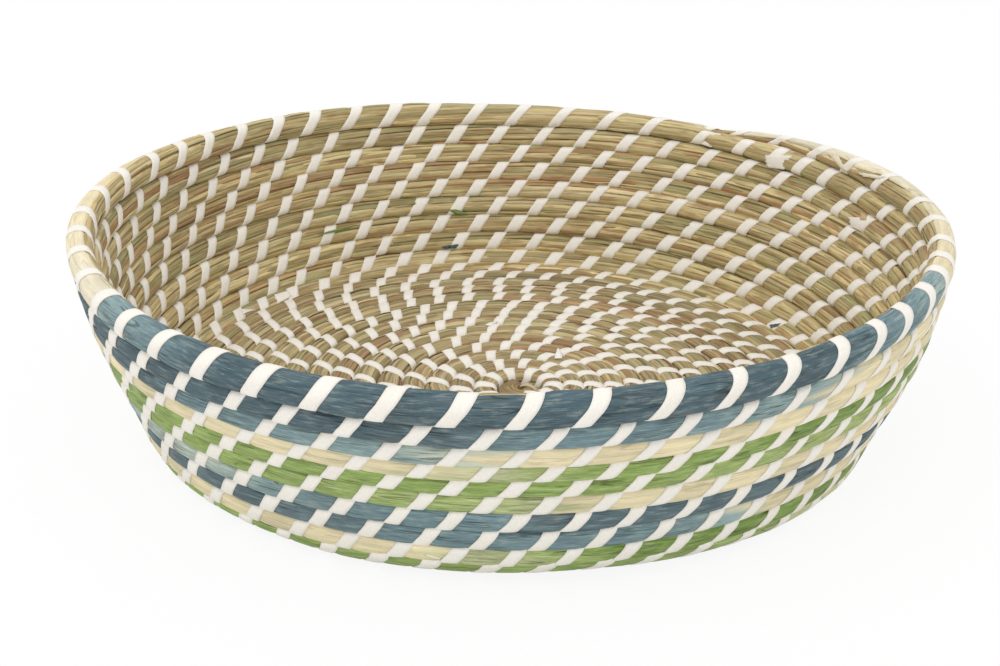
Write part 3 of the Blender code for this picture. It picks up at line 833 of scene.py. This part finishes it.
def leaf_cover(name, first, last, stops, slot):
    """A leaf on the outer side of a row, whose ends are tucked under the nearest wraps."""
    numbers = np.round(stitch_number(np.array([first, last]), np.zeros(2)))
    ends_at = turns_at_wrap(numbers + np.interp(numbers, wrap_numbers, wrap_shift))
    start, end = length_at(ends_at)
    count = math.ceil((end - start) / LEAF_STEP)
    turns = np.interp(np.linspace(start, end, count + 1), fine_length, fine_turns)
    length = length_at(turns)[:, None]
    share = np.linspace(0.0, 1.0, LEAF_COLUMNS)
    low = leaf_edge(turns)[:, None]
    low = low + 0.10 * np.sin(length * 33.0) + 0.07 * np.sin(length * 88.0)
    short = ease((np.sin(length * 17.0 + first * 40.0) - 0.72) / 0.25)
    high = math.radians(LOWER_EDGE) - 0.42 * short + 0.05 * np.sin(length * 71.0)
    around = low + (high - low) * share
    spread = turns_at_wrap(wraps_at(turns)[:, None] + wrap_travel(turns[:, None], around))
    free = 1.0 - held_down(spread, around)
    tuck = 0.0009 * (1.0 - ease(np.minimum(share, 1.0 - share) / 0.06))
    ends = np.minimum(length - start, end - length)
    top = body_reach(spread, around) + LEAF_LIFT + (LEAF_PUFF + leaf_relief(share, length)) * free - tuck
    top = top - 0.0003 * (1.0 - ease(ends / 0.004))
    under = np.maximum(top - LEAF_THICKNESS, body_reach(spread, around) - LEAF_THICKNESS - tuck)
    both = np.concatenate([around, around[:, ::-1]], 1)
    reach = np.concatenate([top, under[:, ::-1]], 1)
    spread = np.concatenate([spread, spread[:, ::-1]], 1)
    points = off_the_floor(beside_coil(spread, both, reach), FLOOR_CLEARANCE)
    across = np.arange(2 * LEAF_COLUMNS + 1) * math.pi * BODY_SIDE / LEAF_COLUMNS
    weave = Weave()
    tint = leaf_tints(spread, both, stops)
    weave.add(points, length_at(turns) + chance.uniform(0, 9.0), across + chance.uniform(0, 9.0), tint)
    made = weave.piece("leaf_" + name, PLAIN_LEAF if slot == "cream_leaf" else DYED_LEAF, name)


# %% Leaf runs, row by row
LOWER_EDGE = 171.0
LEAF_RUNS = (
    ("rim_cover_pale", 0.010, 0.208, "cream_leaf", ((0.0, "pale"), (0.1, "pale"), (0.2, "cream"))),
    ("rim_cover_blue", 0.208, 0.562, "blue_leaf", (
        (0.208, "white_blue"), (0.225, "light_blue"), (0.26, "mid_blue"), (0.30, "blue"),
        (0.50, "blue"), (0.535, "mid_blue"), (0.562, "light_blue"))),
    ("rim_cover_cream", 0.562, 0.955, "cream_leaf", ((0.562, "pale"), (0.64, "cream"), (0.9, "tan"))),
    ("row_2_cover_cream", 0.985, 1.306, "cream_leaf", ((1.0, "pinkish"), (1.08, "pale"), (1.15, "cream"), (1.28, "cream"), (1.306, "light_blue"))),
    ("row_2_cover_blue", 1.306, 1.822, "blue_leaf", (
        (1.306, "light_blue"), (1.35, "mid_blue"), (1.40, "mid_blue"), (1.44, "blue"), (1.8, "blue"))),
    ("row_3_cover_cream", 1.822, 2.425, "cream_leaf", ((1.822, "cream"), (2.402, "cream"), (2.425, "white_blue"))),
    ("row_3_cover_blue", 2.425, 2.822, "blue_leaf", (
        (2.425, "white_blue"), (2.445, "light_blue"), (2.50, "mid_blue"), (2.56, "blue"))),
    ("row_4_cover_green", 2.822, 3.411, "green_leaf", (
        (2.822, "deep_green"), (3.30, "deep_green"), (3.37, "green"), (3.395, "light_green"), (3.411, "pale_green"))),
    ("row_4_cover_cream", 3.411, 3.822, "cream_leaf", ((3.411, "pale_green"), (3.45, "cream"))),
    ("row_5_cover_green", 3.822, 4.822, "green_leaf", (
        (3.822, "light_green"), (4.30, "light_green"), (4.36, "green"), (4.55, "green"), (4.7, "deep_green"))),
    ("row_6_cover_cream", 4.822, 5.392, "cream_leaf", ((4.822, "cream"), (5.38, "cream"), (5.392, "pale_green"))),
    ("row_6_cover_green", 5.392, 5.822, "green_leaf", ((5.392, "pale_green"), (5.42, "light_green"), (5.5, "green"))),
    ("row_7_cover_navy", 5.822, 6.467, "navy_leaf", ((5.822, "navy"), (6.39, "navy"), (6.41, "mid_blue"), (6.467, "mid_blue"))),
    ("row_7_cover_pale_blue", 6.467, 6.822, "pale_blue_leaf", (
        (6.467, "mid_blue"), (6.50, "light_blue"), (6.53, "white_blue"), (6.6, "light_blue"), (6.7, "cream"))),
    ("row_8_cover_cream", 6.822, 7.322, "cream_leaf", ((6.822, "cream"), (7.30, "cream"), (7.322, "light_blue"))),
    ("row_8_cover_navy", 7.322, 7.822, "navy_leaf", (
        (7.322, "light_blue"), (7.36, "mid_blue"), (7.44, "mid_blue"), (7.48, "navy"))),
    ("row_9_cover_green", 7.822, 8.414, "green_leaf", (
        (7.822, "deep_green"), (8.36, "deep_green"), (8.39, "light_green"), (8.414, "pale_green"))),
    ("row_9_cover_cream", 8.414, 8.950, "cream_leaf", ((8.414, "pale_green"), (8.44, "cream"))),
    ("row_10_cover_cream", 9.170, 9.280, "cream_leaf", ((9.17, "cream"), (9.28, "pale_green"))),
    ("row_10_cover_green", 9.280, 9.880, "green_leaf", ((9.28, "light_green"), (9.36, "green"), (9.6, "green"))),
)
for name, first, last, slot, stops in LEAF_RUNS:
    leaf_cover(name, first, last, stops, slot)
print("leaf covers", len(LEAF_RUNS))

# %% [markdown]
# ## The binding strip
# A flat strip is wound round each row and sewn through the row below. Its wraps cross the row
# at a slant. One unbroken ribbon is made for each stretch of the coil, with a thickness and a
# slight crown, so that every stitch has a real edge that casts a shadow on the leaf.

# %% Strip finish
def strip_finish():
    finish = Finish("strip", Roughness=0.5)
    finish.shader.inputs["Specular IOR Level"].default_value = 0.3
    grain = finish.noise(finish.lay(900.0, 2600.0), detail=2.0)
    clouds = finish.noise(finish.lay(60.0, 60.0), detail=2.0)
    tint = finish.node("Attribute", {"attribute_name": "tint"}, {})
    shade = finish.mixed(grain.within(0.3, 0.7), darker(finish, tint, 0.93, 0.92, 0.90), tint)
    toned = finish.mixed(clouds.within(0.35, 0.7) * 0.5, shade, darker(finish, shade, 0.95, 0.93, 0.91))
    finish.feed(Base_Color=toned, Roughness=0.5 + grain * 0.2, Normal=finish.bumped(grain, 0.00010))
    return finish.material


STRIP = strip_finish()

# %% Shape of the strip
OUTER_HALF_WIDTH, INNER_HALF_WIDTH = 0.0034, 0.0036
BASE_NARROWING = 0.8
STRIP_THICKNESS = 0.00034
STRIP_LIFT = 0.00010
STRIP_CROWN = 0.00014
WRAP_STEPS = 32
STRIP_COLUMNS = 5
STRIP_WHITE = colour(246, 242, 234)


def strip(name, first_wrap, last_wrap, *nodes):
    """The wraps of one stretch of the coil."""
    marks = np.arange(first_wrap * WRAP_STEPS, last_wrap * WRAP_STEPS + 1) / WRAP_STEPS
    wrap = np.round(marks)
    around = 2 * math.pi * (marks - wrap)
    near = turns_at_wrap(marks)
    part = marks - wrap
    held = wrap + np.sign(part) * 0.5 * ease((np.abs(part) - 0.4) / 0.1)
    shift = np.interp(held, wrap_numbers, wrap_shift)
    middle = turns_at_wrap(wrap + wrap_travel(near, around) + shift)
    across = np.linspace(-1.0, 1.0, STRIP_COLUMNS)
    outer_share = 0.5 + 0.5 * np.sin(around)
    half = (INNER_HALF_WIDTH + (OUTER_HALF_WIDTH - INNER_HALF_WIDTH) * outer_share)
    half = half * np.interp(marks, wrap_numbers, wrap_width) * np.where(middle > BARE_FROM_TURN, BASE_NARROWING, 1.0)
    turns = middle[:, None] + (half / (2 * math.pi * np.interp(middle, fine_turns, fine_radius)))[:, None] * across
    angles = np.broadcast_to(around[:, None], turns.shape)
    surface = body_reach(turns, angles) + covered(turns, angles) * (LEAF_LIFT + LEAF_THICKNESS / 2) + STRIP_LIFT
    surface = surface.mean(1, keepdims=True) * 0.6 + surface * 0.4
    outer = surface + STRIP_THICKNESS - STRIP_CROWN * across ** 2
    turns = np.concatenate([turns, turns[:, ::-1]], 1)
    angles = np.concatenate([angles, angles], 1)
    reach = np.concatenate([outer, outer[:, ::-1] - STRIP_THICKNESS], 1)
    points = beside_coil(turns, angles, reach)
    floor = np.where(np.arange(2 * STRIP_COLUMNS) < STRIP_COLUMNS, 0.0, STRIP_THICKNESS)
    points[..., 2] = np.maximum(points[..., 2], floor)
    columns = np.arange(2 * STRIP_COLUMNS + 1) * 2 * OUTER_HALF_WIDTH / (STRIP_COLUMNS - 1)
    weave = Weave()
    weave.add(points, marks * 2 * math.pi * BODY_SIDE, columns, STRIP_WHITE)
    made = weave.piece(name, STRIP, *nodes)


# %% Wraps, row by row
STRIP_TURNS = [0.012] + [row - STEP_LEAD_SHARE / 2 for row in range(1, 11)] + [12.4, 15.0, 18.0, COIL_TURNS - 0.3]
for number, (first_turn, last_turn) in enumerate(zip(STRIP_TURNS, STRIP_TURNS[1:])):
    first_wrap, last_wrap = np.round(wraps_at(np.array([first_turn, last_turn]))) - 0.5
    nodes = ("rim_binding",) if number == 0 else ()
    strip(f"strip_{number + 1}", first_wrap, last_wrap, *nodes)
print("strips", len(STRIP_TURNS) - 1)

# %% [markdown]
# A new length of strip starts where the last one ran out, and its torn end is left beside the
# stitch. Here and there an end of a leaf has also come through to the inside. Each is a small
# bent sheet between four places on the coil, with a ragged edge, lifted a little off the stems.

# %% Torn ends
SCRAP_LIFT = 0.0007
SCRAP_PUFF = 0.0005
SCRAP_STEPS = 9
RAGGED_SHARE = 0.13
STRIP_SCRAPS = (
    ((1.0316, -105), (1.0492, -55), (1.0444, -140), (2.0356, -55)),
    ((2.0932, -110), (2.1084, -50), (2.1052, -135), (3.0964, -55)),
    ((0.9996, -65), (1.0076, -50), (1.0036, -140), (0.9972, -135)),
    ((9.7630, -75), (9.7750, -75), (9.7735, -115), (9.7600, -130)),
    ((17.867, -85), (16.877, -135), (16.886, -130), (17.873, -100)),
    ((19.970, -110), (19.973, -105), (20.999, -95), (20.981, -120)),
    ((9.7375, -70), (9.7465, -120), (9.7390, -110), (9.7360, -110)),
    ((9.4585, 22), (9.4540, 62), (9.4545, 66), (9.4590, 26)),
    ((8.4340, 78), (8.4280, 98), (8.4280, 102), (8.4340, 83)),
    ((6.3905, 45), (7.3910, 35), (7.3915, 38), (6.3915, 48)),
    ((6.2860, 48), (7.2745, 42), (7.2755, 46), (6.2870, 52)),
)
LEAF_SCRAPS = (
    ("pale", ((0.0652, -60), (0.0732, -50), (0.0828, -120), (0.0780, -125))),
    ("pale", ((0.0884, -95), (0.1108, -40), (0.1076, -65), (0.0948, -100))),
    ("tan", ((2.1004, -55), (2.1052, -50), (2.1068, -70), (2.1020, -85))),
    ("deep_green", ((6.8005, -80), (6.8080, -70), (6.8245, -60), (6.8140, -80))),
    ("deep_green", ((5.8735, -115), (5.8780, -115), (5.8855, -140), (6.8770, -50))),
    ("blue", ((7.8685, -120), (7.8790, -110), (7.8775, -135), (7.8700, -130))),
    ("blue", ((9.0710, -120), (9.0775, -80), (9.0775, -100), (9.0730, -135))),
)


def on_coil(turns, degrees, lift):
    """A point at an angle in degrees round the coil, lifted off its surface."""
    turn, angle = np.array([turns]), np.radians([degrees])
    return beside_coil(turn, angle, body_reach(turn, angle) + lift)[0]


def scrap(weave, tint, corners):
    """A small bent sheet between four corners, given in order round it."""
    first, second, third, fourth = [on_coil(*corner, SCRAP_LIFT) for corner in corners]
    facing = np.cross(second - first, fourth - first)
    facing = facing / np.linalg.norm(facing)
    facing = facing * np.sign(facing @ (on_coil(*corners[0], 2 * SCRAP_LIFT) - first))
    steps = np.linspace(0.0, 1.0, SCRAP_STEPS)
    rows = steps[:, None, None]
    ragged = chance.uniform(0.0, RAGGED_SHARE, (SCRAP_STEPS, 1, 1))
    columns = ragged + (1.0 - 2 * ragged) * steps[None, :, None]
    above = first * (1.0 - columns) + second * columns
    below = fourth * (1.0 - columns) + third * columns
    puff = SCRAP_PUFF * np.sin(math.pi * rows) * np.sin(math.pi * columns)
    front = above * (1.0 - rows) + below * rows + facing * puff
    points = np.concatenate([front, front[:, ::-1] - facing * STRIP_THICKNESS], 1)
    along = steps * np.linalg.norm(fourth - first)
    across = np.arange(2 * SCRAP_STEPS + 1) * np.linalg.norm(second - first) / SCRAP_STEPS
    weave.add(points, along, across, tint)


strip_ends = Weave()
for corners in STRIP_SCRAPS:
    scrap(strip_ends, STRIP_WHITE, corners)
strip_ends.piece("strip_ends", STRIP)
dyed_ends, plain_ends = Weave(), Weave()
for dye, corners in LEAF_SCRAPS:
    scrap(plain_ends if dye in ("pale", "tan") else dyed_ends, DYES[dye], corners)
dyed_ends.piece("dyed_leaf_ends", DYED_LEAF)
plain_ends.piece("plain_leaf_ends", PLAIN_LEAF)
print("torn ends", len(STRIP_SCRAPS) + len(LEAF_SCRAPS))

# %% [markdown]
# ## Camera, light and floor
# The camera stands where the photograph's did: the fit to the rim, foot and spiral gave its
# height, distance and lens. Light is a bright even sky and one wide lamp, and the floor is pale.

# %% Camera
FOCAL_PIXELS = 1814.6
FRAME_PIXELS = 1000.0
SENSOR_WIDTH = 36.0
CAMERA_DISTANCE = 0.8669
CAMERA_HEIGHT_ANGLE = math.radians(23.09)
CAMERA_ROLL = 0.0271
AIM = Vector((-0.0046, 0.0067, RIM_HEIGHT - 0.0587))


def add_camera():
    ahead = Vector((0.0, math.cos(CAMERA_HEIGHT_ANGLE), -math.sin(CAMERA_HEIGHT_ANGLE)))
    level = Vector((1.0, 0.0, 0.0))
    over = level.cross(ahead)
    right = level * math.cos(CAMERA_ROLL) + over * math.sin(CAMERA_ROLL)
    up = over * math.cos(CAMERA_ROLL) - level * math.sin(CAMERA_ROLL)
    data = bpy.data.cameras.new("camera")
    data.sensor_width = SENSOR_WIDTH
    data.lens = FOCAL_PIXELS / FRAME_PIXELS * SENSOR_WIDTH
    camera = bpy.data.objects.new("camera", data)
    camera.matrix_world = Matrix.Translation(AIM - ahead * CAMERA_DISTANCE) @ Matrix(
        (right, up, -ahead)).transposed().to_4x4()
    bpy.context.scene.collection.objects.link(camera)
    bpy.context.scene.camera = camera


add_camera()

# %% Light and floor
SKY_STRENGTH = 0.925
LAMP_POWER = 12.0
LAMP_SIZE = 1.6
LAMP_PLACE = Vector((-0.5, -0.9, 1.9))
FLOOR_SIZE = 8.0
FLOOR_GLOW = 0.90


def add_lamp():
    data = bpy.data.lights.new("lamp", "AREA")
    data.shape = "DISK"
    data.size = LAMP_SIZE
    data.energy = LAMP_POWER
    lamp = bpy.data.objects.new("lamp", data)
    lamp.location = LAMP_PLACE
    lamp.rotation_euler = (-LAMP_PLACE).to_track_quat("-Z", "Y").to_euler()
    bpy.context.scene.collection.objects.link(lamp)


def add_sky():
    world = bpy.data.worlds.new("sky")
    bpy.context.scene.world = world
    world.use_nodes = True
    tree = world.node_tree
    tree.nodes["Background"].inputs["Color"].default_value = (1.0, 1.0, 1.0, 1.0)
    tree.nodes["Background"].inputs["Strength"].default_value = SKY_STRENGTH


def floor_finish():
    """White paper for the camera, which still shows the bowl's shadow."""
    finish = Finish("floor", Roughness=0.9)
    finish.shader.inputs["Base Color"].default_value = solid((0.92, 0.92, 0.92))
    tree = finish.tree
    path = tree.nodes.new("ShaderNodeLightPath")
    glow = tree.nodes.new("ShaderNodeEmission")
    glow.inputs["Color"].default_value = (1.0, 1.0, 1.0, 1.0)
    glow.inputs["Strength"].default_value = 1.0
    rays = [Signal(finish, path.outputs[f"Is {kind} Ray"]) for kind in ("Camera", "Glossy", "Transmission")]
    seen = (rays[0] + rays[1] + rays[2]).within(0.0, 1.0) * FLOOR_GLOW
    mix = tree.nodes.new("ShaderNodeMixShader")
    tree.links.new(seen.socket, mix.inputs[0])
    tree.links.new(finish.shader.outputs[0], mix.inputs[1])
    tree.links.new(glow.outputs[0], mix.inputs[2])
    tree.links.new(mix.outputs[0], tree.nodes["Material Output"].inputs["Surface"])
    return finish.material


def add_floor():
    half = FLOOR_SIZE / 2
    mesh = bpy.data.meshes.new("floor")
    mesh.from_pydata([(-half, -half, 0), (half, -half, 0), (half, half, 0), (-half, half, 0)], [], [(0, 1, 2, 3)])
    mesh.materials.append(floor_finish())
    floor = bpy.data.objects.new("floor", mesh)
    bpy.context.scene.collection.objects.link(floor)


add_lamp()
add_sky()
add_floor()
bpy.context.scene.view_settings.view_transform = "Standard"
